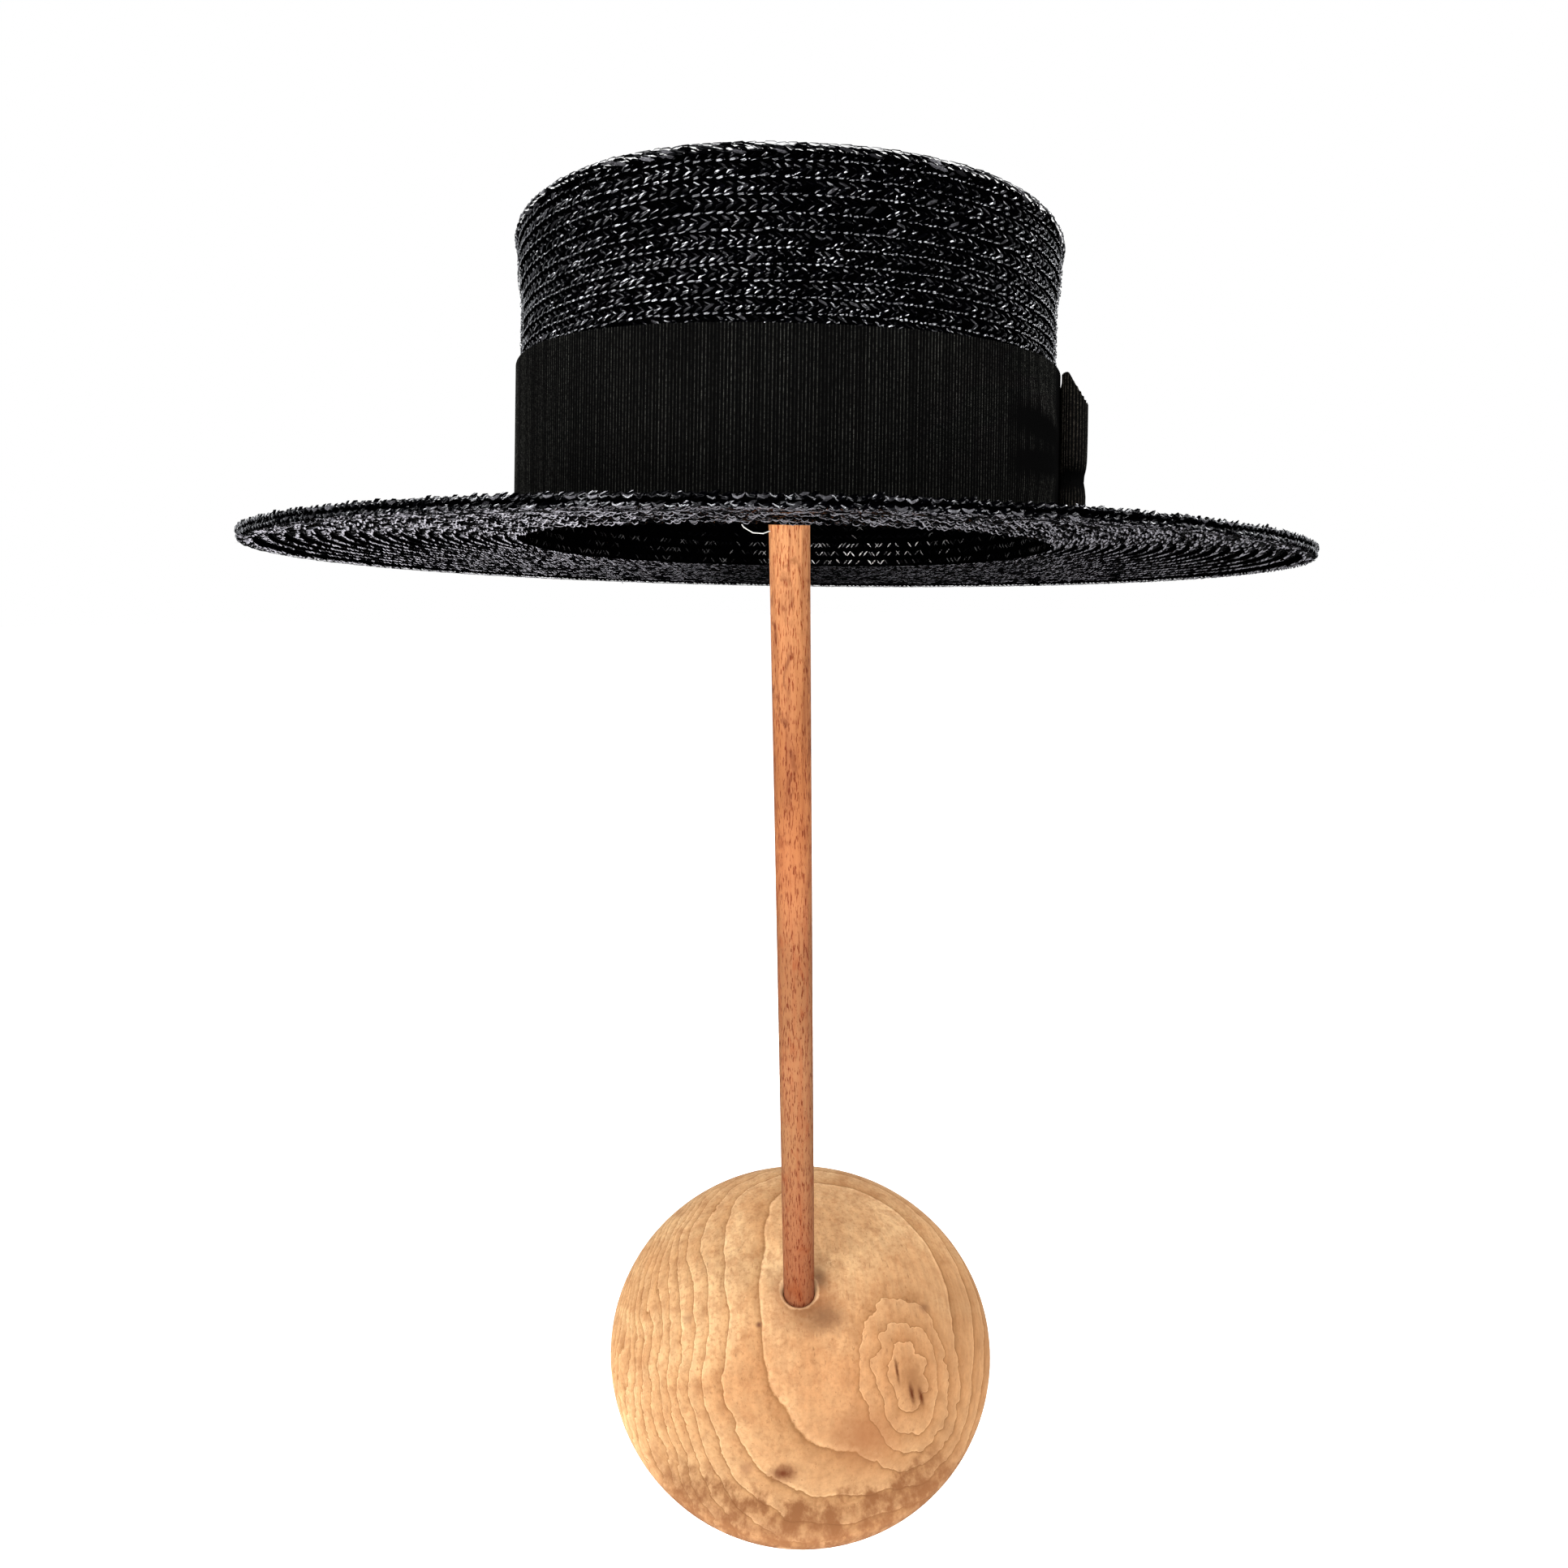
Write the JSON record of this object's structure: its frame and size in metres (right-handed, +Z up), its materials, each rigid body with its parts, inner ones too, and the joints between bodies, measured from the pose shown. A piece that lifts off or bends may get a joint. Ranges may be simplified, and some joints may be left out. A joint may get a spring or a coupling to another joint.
{
  "type": "boater hat on wooden stand",
  "caption": "Oval straw hat with a flat-topped crown, a wide flat brim and a ribbon band with a bow, resting on a plain turned wooden stand.",
  "frame": {"origin": "centre of the stand's flat underside, on the rod's axis", "axes": "+Z up along the rod, X along the crown's long axis with the bow at +X, -Y towards the side that faces the viewer"},
  "size_m": [0.3479, 0.3224, 0.4816],
  "materials": {
    "straw": "black lacquered straw braid, glossy",
    "ribbon": "black grosgrain ribbon, matte, ribbed",
    "dowel_wood": "reddish hardwood rod, sanded, open pores",
    "base_wood": "pale turned wood, waxed, with growth rings and a knot"
  },
  "bodies": {
    "root": {"crown_tip": "straw", "crown_side": "straw", "brim": "straw", "hat_band": "ribbon", "bow_front_loop": "ribbon", "bow_back_loop": "ribbon", "bow_knot": "ribbon", "stand_dowel": "dowel_wood", "stand_base": "base_wood"}
  },
  "joints": []
}
